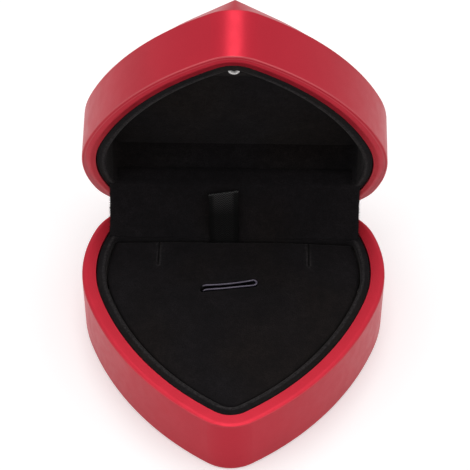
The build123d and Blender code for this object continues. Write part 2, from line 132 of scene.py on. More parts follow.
# Piping round the slot: a loop that is closed at the right and tucked into the velvet at the left
PIPING_RADIUS = 0.21
PIPING_HALF = 0.68
PIPING_SPREAD = 0.4
PIPING_SPREAD_LOWER = 0.2
PIPING_REACH = 6.6
PIPING_OVERRUN = 0.4
PIPING_STEPS = 24
PIPING_TURN_SPACING = 0.12
PIPING_TAIL = 2.9
PIPING_TAIL_THICKNESS = 0.2
PIPING_DIP = 0.7
PIPING_TUCK = (0.9, 1.3)  # where it starts inside the reach, and its length
# Painted shade: below these heights, down into the slot, the binding is painted near-black
PIPING_SHADED = 17.25  # heights between which it turns from navy to lilac
PIPING_UNSHADED = 17.6
BEAD_SPACING = 0.08

# Flap between the two halves: its ends lie on the rear lips of the trays
BASE_REACH = 11.6
LID_REACH = 11.7
FLAP_WIDTH = 66.8
FLAP_THICKNESS = 0.5
FLAP_BOW = 0.8
FLAP_STEPS = 22
FLAP_COLUMNS = 72
FLAP_START = [(0.12, 0.1), (0.45, 0.35)]  # to the rear and up from the base's lip
FLAP_END = (-0.4, 0.1)  # to the front and into the lid from its lip, as in the roll
FLAP_ROLL = [(0.06, 0.16), (0.26, 0.42), (0.38, 1.0), (0.54, 1.8), (0.72, 2.7), (0.89, 3.6), (1.06, 4.5)]
FLAP_RAGGED = 0.16
FLAP_RAGGED_STEP = 1.3
FLAP_SEED = (5.0, 0.3)
FLAP_RIPPLE = [(0.22, 10, 1.6, 5.5), (0.08, 3.2, 4.0, 9.1)]  # height, size across, waves along and seed

# Loose fibres along the flap's cut sides
FRINGE_COUNT = 150
FRINGE_SIDES = 3
FRINGE_LENGTH = (0.3, 0.9)
FRINGE_GAIN = 1.6
FRINGE_RADIUS = 0.035
FRINGE_TAPER = 0.8
FRINGE_ROOT = 0.1
FRINGE_SCATTER = 0.3
FRINGE_SWAY = (0.35, 0.45)
FRINGE_BEND = 0.55
FRINGE_BEND_RISE = 0.15
FRINGE_WAVE = (0.71, 3.0, 2.2)
FRINGE_SEED = 1

# Ribbon, its sides folded under
RIBBON_CUT = 10.0
RIBBON_FOOT_WIDTH = 7.4
RIBBON_TOP_WIDTH = 7.7
RIBBON_FOOT_X = -2.4
RIBBON_TOP_X = -3.0
RIBBON_LENGTH = 12.8
RIBBON_LENGTH_ALL = 19.7
RIBBON_PLY = 0.14
RIBBON_FOLD = 0.2
RIBBON_TURN = 0.12
RIBBON_GAP = (0.08, 0.35)  # behind the cushion, at the foot and at the bend
RIBBON_LIFT = 0.05
RIBBON_TOP_GAP = 0.25
RIBBON_BEND = 1.0
RIBBON_FOOT = 8  # steps up to the bend
RIBBON_BEND_STEPS = 5
RIBBON_STEPS = 20
RIBBON_COLUMNS = 16
RIBBON_SLANT = 0.14
RIBBON_CUP = 0.25
RIBBON_WAVE = 0.12
RIBBON_WAVE_TURN = (3.0, 0.5)  # along and across

# Weave of the ribbon: ribs in columns, paler towards the upper end and palest at its cut end, with painted shade
# along its sides
WEAVE_COLUMN = 0.75
WEAVE_RIB = 0.3
WEAVE_SHADE = (0.06, 0.24)
RIBBON_PALER_END = 6.0
RIBBON_PALEST_END = 0.7
# Painted shade along the ribbon's sides: it darkens between these distances inside its edge
RIBBON_SIDE_SHADE = (1.6, 0.8)

# Flocked lips of the two trays: a soft bead along the front of the heart
LIP_OUTER = 3.95
LIP_INNER = 6.3
LIP_RISE = 0.34
LIP_LEAN = 2.2
LIP_STEPS = 10
LIP_UNDER = [(0.0, -0.5), (0.3, -0.5), (0.4, -0.1)]  # outward from the inner edge, and up
LIP_SUNK = -0.1
LIP_CREST = 5.2
# Painted sheen: how much paler the inner half of the crest is painted
LIP_SHEEN = 0.7
LIP_LEVEL = 0.425
LIP_END = 22.5
LIP_SPACING = 0.8
LIP_UNEVEN = 0.18
LIP_SEED = (0.31, 4.2)
LIP_FLAT = (3.0, 8.0)
LIP_LEAST = 0.06

# Ring round the lamp, with a rounded front
RING_OUTER = 1.42
RING_INNER = 0.85
RING_LENGTH = 5.4
RING_RISE = 0.1
RING_STEPS = 48

# Rims of the two shells: the lacquer rounds off between these distances inside the outline
RIM_ROUND_START = 0.4
RIM_ROUND_END = {"base": 1.3, "lid": 2.5}
RIM_SLOPE = {"base": 0.25, "lid": 1.0}
RIM_DEPTH = 0.2
# Painted highlights: two thin pale lines of colour along each rim, one a little inside its edge and one on the
# outer edge
RIM_HIGHLIGHT_PLACE = 0.85
RIM_HIGHLIGHT_HALF = 0.16
RIM_HIGHLIGHT = {"base": 0.0, "lid": 0.06}
EDGE_HIGHLIGHT_DEPTH = (0.05, 0.38)
EDGE_HIGHLIGHT = {"base": 0.05, "lid": 0.12}
HIGHLIGHT_COLOUR = (0.95, 0.5, 0.5, 1)
BASE_RIM = 17.9
LID_RIM = 0.125

# Painted sheen: the pale colour of pile that stands up at the slits and on the lips' crests and catches the light;
# and the sheen of all pile
PAINTED_SHEEN_PILE = (0.030, 0.027, 0.028, 1)
PILE_SHEEN = (0.75, 0.68, 0.66, 1)

# Camera, as the photograph was taken
CAMERA_PLACE = (5.588, -313.96, 373.58)
CAMERA_TURN = (42.485, -0.056, 1.005)
CAMERA_LENS = 137.32
CAMERA_SENSOR = 36.0
CAMERA_NEAR = 10.0

# Floor, world and soft lights, with each light's place, size and power
FLOOR_HALF = 4000.0
FLOOR_LIFT = 0.4
WORLD_STRENGTH = 0.35
OBJECT_MIDDLE = (0, -5, 35)
LIGHTS = {
    "top_light": ((0, 150, 900), (420, 900), 3.6),
    "left_light": ((-800, -350, 500), (700, 700), 1.8),
    "right_light": ((800, -350, 500), (700, 700), 1.8),
}

# Sockets of a colour Mix node
MIX_FACTOR, MIX_FIRST, MIX_SECOND, MIX_RESULT = 0, 6, 7, 2

# Hinge axis, and the way the open lid's front points from it
HINGE = next(joint for joint in frame["joints"] if joint["name"] == "lid_hinge")
HINGE_Y = HINGE["pos_m"][1] / MM
HINGE_Z = HINGE["pos_m"][2] / MM
OPEN_ANGLE = math.radians(HINGE["range_deg"][1])
OPEN_COS, OPEN_SIN = math.cos(OPEN_ANGLE), math.sin(OPEN_ANGLE)


def box_mm(node):
    """Lowest and highest corner of a solid, in millimetres."""
    low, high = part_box(node)
    return low / MM, high / MM


def lid_point(x, front, deep):
    """A point of the open lid: along the hinge axis, from the axis to the front, and away from the rims."""
    y = HINGE_Y - front * OPEN_COS + deep * OPEN_SIN
    z = HINGE_Z + front * OPEN_SIN + deep * OPEN_COS
    return Vector((x, y, z))


def share_between(value, low, high):
    """0 up to the low value, 1 from the high value on, and a straight line between."""
    return min(max((value - low) / (high - low), 0.0), 1.0)


# Outlines

def arc_points(centre, radius, start, end, spacing):
    """Points on an arc from one angle to another, in degrees."""
    count = max(2, math.ceil(radius * abs(math.radians(end - start)) / spacing))
    angles = [math.radians(start + (end - start) * i / count) for i in range(count + 1)]
    return [(centre[0] + radius * math.cos(a), centre[1] + radius * math.sin(a)) for a in angles]


def straight_points(start, end, spacing):
    """Points on a straight line, both ends included."""
    count = max(1, math.ceil(math.dist(start, end) / spacing))
    return [tuple(a + (b - a) * i / count for a, b in zip(start, end)) for i in range(count + 1)]


def front_arcs(lobe_end):
    """Centre, radius, first and last angle of the tip's, the side's and the lobe's arc, on the right."""
    return [((0, TIP_Y), TIP_RADIUS, -90, -TIP_START),
            ((SIDE_X, SIDE_Y), SIDE_RADIUS, -TIP_START, -SIDE_START),
            ((LOBE_X, 0), LOBE_RADIUS, -SIDE_START, lobe_end)]


def tray_half(inset, rear, corner, spacing):
    """Right half of the front heart, from the tip to the middle of its straight rear edge."""
    reach = LOBE_RADIUS - inset - corner
    turn = math.asin((rear - corner) / reach)
    corner_centre = (LOBE_X + reach * math.cos(turn), rear - corner)
    points = []
    for centre, radius, start, end in front_arcs(math.degrees(turn)):
        points += arc_points(centre, radius - inset, start, end, spacing)
    points += arc_points(corner_centre, corner, math.degrees(turn), 90, spacing)
    return points + straight_points((corner_centre[0], rear), (0, rear), spacing)


def without_repeats(points, least=0.02):
    """The points of a closed line with those left out that lie on the one before."""
    kept = []
    for point in points:
        if not kept or math.dist(point, kept[-1]) > least:
            kept.append(point)
    if math.dist(kept[0], kept[-1]) <= least:
        kept.pop()
    return kept


def tray_outline(inset, rear, corner, spacing):
    """The front heart, closed by a straight rear edge with rounded corners, anticlockwise from the tip."""
    right = tray_half(inset, rear, corner, spacing)
    left = [(-x, y) for x, y in reversed(right)]
    return without_repeats(right + left)


def slot_to_box(point):
    """A place in the slot's own turned frame, in the box's frame."""
    c, s = math.cos(SLOT_TURN), math.sin(SLOT_TURN)
    return (SLOT_PLACE[0] + point[0] * c - point[1] * s, SLOT_PLACE[1] + point[0] * s + point[1] * c)


def box_to_slot(point):
    """A place in the box's frame, in the slot's own turned frame."""
    c, s = math.cos(SLOT_TURN), math.sin(SLOT_TURN)
    x, y = point[0] - SLOT_PLACE[0], point[1] - SLOT_PLACE[1]
    return (x * c + y * s, y * c - x * s)


def slot_outline(width, spacing):
    """The rounded outline of the ring slot."""
    half, radius = SLOT_LENGTH / 2, width / 2
    points = arc_points((half, 0), radius, -90, 90, spacing)
    points += straight_points((half, radius), (-half, radius), spacing)
    points += arc_points((-half, 0), radius, 90, 270, spacing)
    points += straight_points((-half, -radius), (half, -radius), spacing)
    return without_repeats([slot_to_box(point) for point in points])


def inside_polygon(point, outline):
    """Whether a place lies inside a closed outline."""
    x, y = point
    x1, y1 = outline[:, 0], outline[:, 1]
    x2, y2 = np.roll(x1, -1), np.roll(y1, -1)
    crosses = (y1 > y) != (y2 > y)
    with np.errstate(divide="ignore", invalid="ignore"):
        reach = (x2 - x1) * (y - y1) / (y2 - y1) + x1
    return bool(np.count_nonzero(crosses & (x < reach)) % 2)


def line_distance(point, line):
    """Distance from a place to the nearest point of a line."""
    return float(np.min(np.hypot(line[:, 0] - point[0], line[:, 1] - point[1])))


def direction(route, i):
    """The way that a line of places runs at one of them."""
    before, after = route[max(i - 1, 0)], route[min(i + 1, len(route) - 1)]
    return Vector([b - a for a, b in zip(before, after)]).normalized()


def route_length(route):
    """Length along a line of places."""
    return sum((b - a).length for a, b in zip(route, route[1:]))


# Meshes

def make_object(name, points, faces, smooth=True):
    """A mesh object from points in millimetres."""
    mesh = bpy.data.meshes.new(name)
    mesh.from_pydata([Vector(point) * MM for point in points], [], faces)
    form = bmesh.new()
    form.from_mesh(mesh)
    bmesh.ops.recalc_face_normals(form, faces=form.faces)
    form.to_mesh(mesh)
    form.free()
    mesh.polygons.foreach_set("use_smooth", [smooth] * len(mesh.polygons))
    piece = bpy.data.objects.new(name, mesh)
    bpy.context.scene.collection.objects.link(piece)
    return piece


def thicken(piece, thickness):
    """Turn an open sheet into a thin closed one, half to each side."""
    form = bmesh.new()
    form.from_mesh(piece.data)
    form.normal_update()
    for corner in form.verts:
        corner.co -= corner.normal * thickness * MM / 2
    bmesh.ops.solidify(form, geom=form.faces[:], thickness=-thickness * MM)
    bmesh.ops.recalc_face_normals(form, faces=form.faces)
    form.to_mesh(piece.data)
    form.free()
    piece.data.polygons.foreach_set("use_smooth", [True] * len(piece.data.polygons))


def mark_painted_sheen(piece, pale_tone):
    """Mark each point of a piece with how much painted sheen makes its pile paler."""
    piece.data.attributes.new("pale_tone", "FLOAT", "POINT").data.foreach_set("value", pale_tone)


def ring_edges(first, size):
    """Edges of a closed row of points that starts at an index."""
    return [(first + k, first + (k + 1) % size) for k in range(size)]


def ring_faces(first, second, size):
    """Faces between two closed rows of points that start at these indices."""
    return [(a, b, b - first + second, a - first + second) for a, b in ring_edges(first, size)]


def swept_faces(count, size):
    """Faces of a closed outline swept through so many places, with closed ends."""
    faces = []
    for i in range(count - 1):
        faces += ring_faces(i * size, (i + 1) * size, size)
    faces.append(tuple(reversed(range(size))))
    faces.append(tuple((count - 1) * size + k for k in range(size)))
    return faces


def grid_faces(rows, columns):
    """Faces of a grid of points that is listed row by row."""
    corners = [i * columns + k for i in range(rows - 1) for k in range(columns - 1)]
    return [(a, a + 1, a + columns + 1, a + columns) for a in corners]


# Material nodes

def new_material(name):
    """An empty node material with its Principled shader."""
    material = bpy.data.materials.new(name)
    material.use_nodes = True
    return material, material.node_tree, material.node_tree.nodes["Principled BSDF"]


def put(tree, socket, value):
    """Link another socket to an input, or set the input to a number or a colour."""
    if isinstance(value, bpy.types.NodeSocket):
        tree.links.new(value, socket)
    else:
        socket.default_value = value


def feed(tree, made, **inputs):
    """Put values into the named inputs of a node, with _ for a space in their names."""
    for name, value in inputs.items():
        put(tree, made.inputs[name.replace("_", " ")], value)
    return made


def node(tree, kind, **inputs):
    """A shader node with values in some of its inputs."""
    return feed(tree, tree.nodes.new(kind), **inputs)


def coordinates(tree, space):
    """The three coordinates of a place on the surface, in the object's frame or in its UVs."""
    coordinate = tree.nodes.new("ShaderNodeTexCoord")
    split = node(tree, "ShaderNodeSeparateXYZ", Vector=coordinate.outputs[space])
    return [split.outputs[axis] for axis in "XYZ"]


def object_noise(tree, size, detail=3.0, roughness=0.55, stretch=(1, 1, 1)):
    """Noise over the object, with features of about that size in millimetres."""
    coordinate = tree.nodes.new("ShaderNodeTexCoord")
    mapping = node(tree, "ShaderNodeMapping", Vector=coordinate.outputs["Object"], Scale=stretch)
    made = node(tree, "ShaderNodeTexNoise", Vector=mapping.outputs["Vector"], Scale=1 / (size * MM),
                Detail=detail, Roughness=roughness)
    return made.outputs["Fac"]


def ramp(tree, value, low, high, at=(0.35, 0.65)):
    """Two colours, or two greys, spread over a value."""
    made = node(tree, "ShaderNodeValToRGB", Fac=value)
    ends = made.color_ramp.elements
    ends[0].position, ends[1].position = at
    ends[0].color, ends[1].color = low, high
    return made.outputs["Color"]


def spread(tree, value, low, high):
    """A value spread from 0 at a low number to 1 at a high one."""
    return node(tree, "ShaderNodeMapRange", Value=value, From_Min=low, From_Max=high).outputs["Result"]


def grey(value):
    """A grey as a colour."""
    return (value, value, value, 1)


def blend_colours(tree, kind, factor, first, second):
    """Two colours mixed."""
    made = tree.nodes.new("ShaderNodeMix")
    made.data_type = "RGBA"
    made.blend_type = kind
    for i, value in ((MIX_FACTOR, factor), (MIX_FIRST, first), (MIX_SECOND, second)):
        put(tree, made.inputs[i], value)
    return made.outputs[MIX_RESULT]


def multiply(tree, colour, *others):
    """Colours multiplied."""
    for other in others:
        colour = blend_colours(tree, "MULTIPLY", 1.0, colour, other)
    return colour


def add_bump(tree, shader, height, strength, distance):
    """Relief from a height, its depth in millimetres."""
    bump = node(tree, "ShaderNodeBump", Strength=strength, Distance=distance * MM, Height=height)
    feed(tree, shader, Normal=bump.outputs["Normal"])
    return bump


def calculate(tree, operation, *values):
    """A math node on numbers and sockets."""
    made = tree.nodes.new("ShaderNodeMath")
    made.operation = operation
    for i, value in enumerate(values):
        put(tree, made.inputs[i], value)
    return made.outputs[0]


def weighted(tree, x, y, x_weight, y_weight, offset):
    """A weighted sum of two sockets and a number."""
    first = calculate(tree, "MULTIPLY_ADD", x, x_weight, offset)
    return calculate(tree, "MULTIPLY_ADD", y, y_weight, first)


def pick(tree, test, first, second):
    """The first value where a test is 1, and the second where it is 0."""
    return calculate(tree, "MULTIPLY_ADD", calculate(tree, "SUBTRACT", first, second), test, second)


# Rims of the lacquered shells

def arc_inset(tree, x, y, centre, radius):
    """How far a place lies inside an arc."""
    across = calculate(tree, "SUBTRACT", x, centre[0])
    along = calculate(tree, "SUBTRACT", y, centre[1])
    square = calculate(tree, "MULTIPLY_ADD", across, across, calculate(tree, "MULTIPLY", along, along))
    return calculate(tree, "SUBTRACT", radius, calculate(tree, "SQRT", square))


def heart_inset(tree, x, y):
    """How far a place lies inside the front of the heart: in the sector of the lobe, the side or the tip."""
    arcs = front_arcs(LIP_END)
    tip, side, lobe = [arc_inset(tree, x, y, centre, radius) for centre, radius, _, _ in arcs]
    turn = math.radians(SIDE_START)
    behind = weighted(tree, x, y, math.sin(turn), math.cos(turn), -LOBE_X * math.sin(turn))
    turn = math.radians(TIP_START)
    before = weighted(tree, x, y, math.sin(turn), math.cos(turn), -TIP_Y * math.cos(turn))
    front = pick(tree, calculate(tree, "GREATER_THAN", before, 0.0), side, tip)
    return pick(tree, calculate(tree, "GREATER_THAN", behind, 0.0), lobe, front)


def rim_place(tree, half):
    """How far a place of a shell lies inside the heart's outline, and how deep below the rim."""
    x, y, z = [calculate(tree, "DIVIDE", value, MM) for value in coordinates(tree, "Object")]
    if half == "lid":
        level = -HINGE_Y * OPEN_SIN - HINGE_Z * OPEN_COS - LID_RIM
        depth = weighted(tree, y, z, OPEN_SIN, OPEN_COS, level)
        y = weighted(tree, y, z, OPEN_COS, -OPEN_SIN, HINGE_Y * (1 - OPEN_COS) + HINGE_Z * OPEN_SIN)
    else:
        depth = calculate(tree, "SUBTRACT", BASE_RIM, z)
    return heart_inset(tree, calculate(tree, "ABSOLUTE", x), y), depth


def rounded_rim(tree, inset, depth, half):
    """Normals that round off the outer edge of a rim."""
    width = RIM_ROUND_END[half] - RIM_ROUND_START
    inside = calculate(tree, "SUBTRACT", RIM_ROUND_END[half], inset)
    inside = calculate(tree, "MINIMUM", calculate(tree, "MAXIMUM", inside, 0.0), width)
    scale = -RIM_SLOPE[half] / (2 * width) * MM
    drop = calculate(tree, "MULTIPLY", calculate(tree, "MULTIPLY", inside, inside), scale)
    on_rim = calculate(tree, "LESS_THAN", depth, RIM_DEPTH)
    height = calculate(tree, "MULTIPLY", drop, on_rim)
    return node(tree, "ShaderNodeBump", Strength=1.0, Distance=1.0, Height=height).outputs["Normal"]


def painted_rim_highlights(tree, inset, depth, half):
    """Strength of the two painted highlight lines along a rim: at its outer edge, and a little inside."""
    low, high = EDGE_HIGHLIGHT_DEPTH
    below = calculate(tree, "GREATER_THAN", depth, low)
    outer = calculate(tree, "MULTIPLY", below, calculate(tree, "LESS_THAN", depth, high))
    away = calculate(tree, "ABSOLUTE", calculate(tree, "SUBTRACT", inset, RIM_HIGHLIGHT_PLACE))
    inner = calculate(tree, "MULTIPLY", calculate(tree, "LESS_THAN", away, RIM_HIGHLIGHT_HALF),
                      calculate(tree, "LESS_THAN", depth, low))
    return weighted(tree, outer, inner, EDGE_HIGHLIGHT[half], RIM_HIGHLIGHT[half], 0.0)


# Materials

def lacquer(name, half=None):
    """Red satin lacquer over fine metal flake, on the shell of a half with its rim's rounded edge and painted
    highlight lines.
    """
    material, tree, shader = new_material(name)
    flake = ramp(tree, object_noise(tree, 0.12, detail=2.0), (0.46, 0.017, 0.034, 1), (0.52, 0.023, 0.042, 1))
    cloud = ramp(tree, object_noise(tree, 14.0, detail=2.0), grey(0.95), grey(1.0))
    colour = multiply(tree, flake, cloud)
    grain = add_bump(tree, shader, object_noise(tree, 0.5, detail=2.0), 0.04, 0.05)
    if half:
        inset, depth = rim_place(tree, half)
        feed(tree, grain, Normal=rounded_rim(tree, inset, depth, half))
        # Painted highlights: thin pale lines along the rim's edge, mixed into the colour
        colour = blend_colours(tree, "MIX", painted_rim_highlights(tree, inset, depth, half), colour, HIGHLIGHT_COLOUR)
    rough = ramp(tree, object_noise(tree, 3.0), grey(0.36), grey(0.42))
    feed(tree, shader, Base_Color=colour, Roughness=rough, Metallic=0.6, Specular_IOR_Level=0.15)
    return material


def pile(name, dark, light, sheen, size):
    """Short dense pile, brushed in patches, with painted sheen: paler where the mesh marks it."""
    material, tree, shader = new_material(name)
    brushed = ramp(tree, object_noise(tree, 9.0, detail=4.0), dark, light)
    patch = object_noise(tree, 26.0, detail=1.0)
    warm = ramp(tree, patch, (1.0, 1.0, 1.04, 1), (1.16, 1.04, 0.9, 1), (0.42, 0.62))
    nap = ramp(tree, object_noise(tree, 1.6, detail=3.0, roughness=0.6), grey(0.72), grey(1.2))
    fibres = ramp(tree, object_noise(tree, size, detail=4.0, roughness=0.7), grey(0.35), grey(1.3))
    colour = multiply(tree, brushed, warm, nap, fibres)
    # Painted sheen: a pale, mottled colour mixed in as far as the mesh marks it
    tuft = object_noise(tree, size * 2, detail=4.0, roughness=0.75)
    sheen_colour = multiply(tree, PAINTED_SHEEN_PILE, ramp(tree, tuft, grey(0.25), grey(1.6), (0.38, 0.62)))
    pale_tone = tree.nodes.new("ShaderNodeAttribute")
    pale_tone.attribute_name = "pale_tone"
    colour = blend_colours(tree, "MIX", pale_tone.outputs["Fac"], colour, sheen_colour)
    feed(tree, shader, Base_Color=colour, Roughness=0.95, Specular_IOR_Level=0.15, Sheen_Weight=sheen,
         Sheen_Roughness=0.35, Sheen_Tint=PILE_SHEEN)
    add_bump(tree, shader, object_noise(tree, size, detail=5.0, roughness=0.7), 0.7, 0.12)
    return material


def ribbon_weave():
    """Black ribbon with a herringbone of fine ribs, with painted shade darkening it along its sides."""
    material, tree, shader = new_material("grosgrain")
    across, along, _ = coordinates(tree, "UV")
    slant = calculate(tree, "ADD", calculate(tree, "PINGPONG", across, WEAVE_COLUMN), along)
    ribs = calculate(tree, "PINGPONG", slant, WEAVE_RIB)
    threads = ramp(tree, ribs, grey(0.0012), (0.0085, 0.0082, 0.0082, 1), WEAVE_SHADE)
    pale_tone = ramp(tree, ribs, grey(0.005), (0.06, 0.057, 0.058, 1), WEAVE_SHADE)
    palest = ramp(tree, ribs, grey(0.006), grey(0.09), WEAVE_SHADE)
    end = spread(tree, along, RIBBON_LENGTH_ALL - RIBBON_PALER_END, RIBBON_LENGTH_ALL)
    colour = blend_colours(tree, "MIX", end, threads, pale_tone)
    # Painted shade: darker along both sides of the ribbon
    aside = calculate(tree, "ABSOLUTE", calculate(tree, "SUBTRACT", across, RIBBON_CUT / 2))
    side_shade = spread(tree, aside, *(RIBBON_TOP_WIDTH / 2 - inside for inside in RIBBON_SIDE_SHADE))
    colour = multiply(tree, colour, ramp(tree, side_shade, grey(1.0), grey(0.25), (0.0, 1.0)))
    palest_end = spread(tree, along, RIBBON_LENGTH_ALL - RIBBON_PALEST_END, RIBBON_LENGTH_ALL - RIBBON_PALEST_END / 2)
    colour = blend_colours(tree, "MIX", palest_end, colour, palest)
    feed(tree, shader, Base_Color=colour, Roughness=0.85, Specular_IOR_Level=0.08)
    add_bump(tree, shader, ribs, 0.8, 0.5)
    return material


def piping_satin():
    """Lilac grey satin, with painted shade that turns it near-black where it goes down into the slot."""
    material, tree, shader = new_material("slot_binding")
    # Painted shade: the lower it goes into the slot, the darker it is painted
    height = spread(tree, coordinates(tree, "Object")[2], PIPING_SHADED * MM, PIPING_UNSHADED * MM)
    deep = ramp(tree, height, (0.004, 0.003, 0.008, 1), (0.14, 0.12, 0.17, 1), (0.0, 1.0))
    thread = object_noise(tree, 0.25, detail=2.0, stretch=(0.3, 1, 1))
    colour = multiply(tree, deep, ramp(tree, thread, grey(0.7), grey(1.0)))
    feed(tree, shader, Base_Color=colour, Roughness=0.32)
    add_bump(tree, shader, thread, 0.3, 0.05)
    return material


def lens():
    """The clear lens of the lamp, dark while it is off."""
    material, tree, shader = new_material("lamp_lens")
    colour = ramp(tree, object_noise(tree, 0.6, detail=2.0), grey(0.006), grey(0.014))
    feed(tree, shader, Base_Color=colour, Roughness=0.08, Specular_IOR_Level=0.2)
    return material


def plain(name, low, high, rough, size, metallic=0.0, stretch=(1, 1, 1), relief=0.05):
    """A moulded, painted or brushed surface with a fine grain."""
    material, tree, shader = new_material(name)
    grain = object_noise(tree, size, detail=4.0, stretch=stretch)
    roughness = ramp(tree, grain, grey(rough * 0.85), grey(min(rough * 1.15, 1.0)))
    feed(tree, shader, Base_Color=ramp(tree, grain, low, high), Roughness=roughness, Metallic=metallic)
    add_bump(tree, shader, grain, 0.3, relief)
    return material


# Moulded, painted and metal surfaces, each with the values that plain() takes
PLAIN = {
    "grey_card": ((0.26, 0.24, 0.21, 1), (0.36, 0.33, 0.29, 1), 0.85, 0.6),
    "steel": ((0.42, 0.42, 0.43, 1), (0.58, 0.58, 0.60, 1), 0.32, 0.3, 1.0, (0.15, 1, 1), 0.01),
    "cell_can": ((0.55, 0.55, 0.56, 1), (0.68, 0.68, 0.70, 1), 0.22, 0.5, 1.0, (1, 1, 1), 0.01),
    "lamp_holder": ((0.93, 0.90, 0.89, 1), (0.98, 0.96, 0.95, 1), 0.25, 0.5),
    "board_green": ((0.012, 0.055, 0.028, 1), (0.02, 0.085, 0.04, 1), 0.4, 0.8),
    "wire_sleeve": ((0.25, 0.012, 0.012, 1), (0.34, 0.02, 0.02, 1), 0.5, 0.5),
    "switch_black": ((0.012, 0.012, 0.012, 1), (0.02, 0.02, 0.02, 1), 0.5, 0.4),
    "switch_tan": ((0.26, 0.19, 0.11, 1), (0.34, 0.26, 0.16, 1), 0.5, 0.4),
}

# Each material slot of the record, and the material that its solids get
MATERIALS = {name: plain(name, *look) for name, look in PLAIN.items()} | {
    "red_lacquer": lacquer("red_lacquer"),
    "liner_flock": pile("liner_flock", (0.0070, 0.0058, 0.0064, 1), (0.0108, 0.0092, 0.0098, 1), 0.10, 0.3),
    "velvet": pile("velvet", (0.0050, 0.0040, 0.0046, 1), (0.0084, 0.0069, 0.0076, 1), 0.055, 0.35),
    "grosgrain": ribbon_weave(),
    "slot_binding": piping_satin(),
    "lamp_lens": lens(),
}
for part in frame["record"]["subparts"]:
    solid = frame["nodes"][part["node"]]
    solid.data.materials.clear()
    solid.data.materials.append(MATERIALS[part["material_slot"]])
for half in ("base", "lid"):
    frame["nodes"][half + "_shell"].data.materials[0] = lacquer("red_lacquer_" + half, half)


def finish_piece(piece, body, slot, *nodes):
    """Give a piece its material, its body and the solids that it stands for."""
    piece.data.materials.append(MATERIALS[slot])
    if body:
        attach(piece, body)
    if nodes:
        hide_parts(*nodes)


# Cushion: crowned velvet over foam, with rounded edges, cut by the ring slot and the chain slits

def rounding(distance, radius):
    """How far a rounded edge has dropped at a distance inside it."""
    inside = radius - min(max(distance, 0.0), radius)
    return radius - math.sqrt(max(radius**2 - inside**2, 0.0))


def slit_end(rear):
    """Where the round end of a slit has its centre."""
    return rear - SLIT_LENGTH + SLIT_WIDTH / 2


def slit_distance(point, rear):
    """Distance to the nearer of the two chain slits, which open to the rear edge."""
    x, y = abs(abs(point[0]) - SLIT_X), point[1]
    return math.hypot(x, max(slit_end(rear) - y, 0.0)) - SLIT_WIDTH / 2


def slit_lip(point, rear):
    """1 along the raised lips of a slit, falling to 0 beside them."""
    away = (slit_distance(point, rear) - SLIT_LIP) / SLIT_LIP_HALF
    return math.exp(-(away**2))


def slot_distance(point):
    """Distance to the rounded outline of the ring slot."""
    x, y = box_to_slot(point)
    return math.hypot(max(abs(x) - SLOT_LENGTH / 2, 0.0), y) - SLOT_WIDTH / 2


def slit_notch(x, rear, spacing):
    """The sides and the round end of a slit, from its right-hand mouth to its left-hand mouth."""
    half, end = SLIT_WIDTH / 2, slit_end(rear)
    points = straight_points((x + half, rear), (x + half, end), spacing)
    points += arc_points((x, end), half, 0, -180, spacing)
    return points + straight_points((x - half, end), (x - half, rear), spacing)


def cushion_boundary(rear):
    """The cushion's outline with the slits cut into its rear edge."""
    points = []
    slits = {side: slit_notch(side * SLIT_X, rear, OUTLINE_SPACING / 2) for side in (1, -1)}
    for point in tray_outline(CUSHION_INSET, rear, CUSHION_CORNER, OUTLINE_SPACING):
        if point[1] > rear - REAR_LINE:
            if slit_distance(point, rear) <= SLIT_TRIM:
                continue
            for side in (1, -1):
                if point[0] < side * SLIT_X and side in slits:
                    points += slits.pop(side)
        points.append(point)
    return without_repeats(points)


def cushion_fill(low, high, line):
    """Places that the cushion's top is meshed through, close together along its edge and its cuts."""
    rear, end = high.y, slit_end(high.y)
    fill = []
    for inset in EDGE_ROWS:
        corner = max(CUSHION_CORNER - inset, EDGE_ROW_CORNER)
        row = tray_outline(CUSHION_INSET + inset, rear - inset, corner, EDGE_ROW_SPACING)
        fill += [place for place in row if slit_distance(place, rear) > SLIT_CLEAR]
    for grow in CUT_ROWS:
        fill += slot_outline(SLOT_WIDTH + 2 * grow, SLOT_ROW_SPACING)
        reach = SLIT_WIDTH / 2 + grow
        for middle in (SLIT_X, -SLIT_X):
            for x in (middle + reach, middle - reach):
                fill += straight_points((x, rear - SLIT_MOUTH), (x, end), SLIT_ROW_SPACING)
            fill += arc_points((middle, end), reach, *SLIT_ROW_TURN, SLIT_ROW_SPACING / 2)
    for i in range(int((high.x - low.x) / GRID_STEP) + 1):
        for k in range(int((high.y - low.y) / GRID_STEP) + 1):
            place = (low.x + i * GRID_STEP, low.y + k * GRID_STEP)
            inside = place[1] < rear - GRID_TO_EDGE and line_distance(place, line) > GRID_TO_EDGE
            if inside and slit_distance(place, rear) > GRID_TO_CUT and slot_distance(place) > GRID_TO_CUT:
                fill.append(place)
    return [place for place in fill if inside_polygon(place, line)]


def cushion_height(point, edge, rear, middle, top):
    """Height of the velvet at a place, with its crown, its edges and a slight unevenness."""
    crown = (point[0] ** 2 + (point[1] - middle) ** 2) / (2 * CUSHION_CROWN_RADIUS)
    drop = rounding(edge, CUSHION_ROUNDING)
    drop += rounding(slit_distance(point, rear), SLIT_ROUNDING)
    drop += rounding(slot_distance(point), SLOT_ROUNDING)
    drop -= SLIT_LIP_RISE * slit_lip(point, rear)
    uneven = 0.0
    for height, size, seed in CUSHION_WAVES:
        uneven += height * noise.noise(Vector((point[0] / size, point[1] / size, seed)))
    return top - crown - drop + uneven - CUSHION_SINK


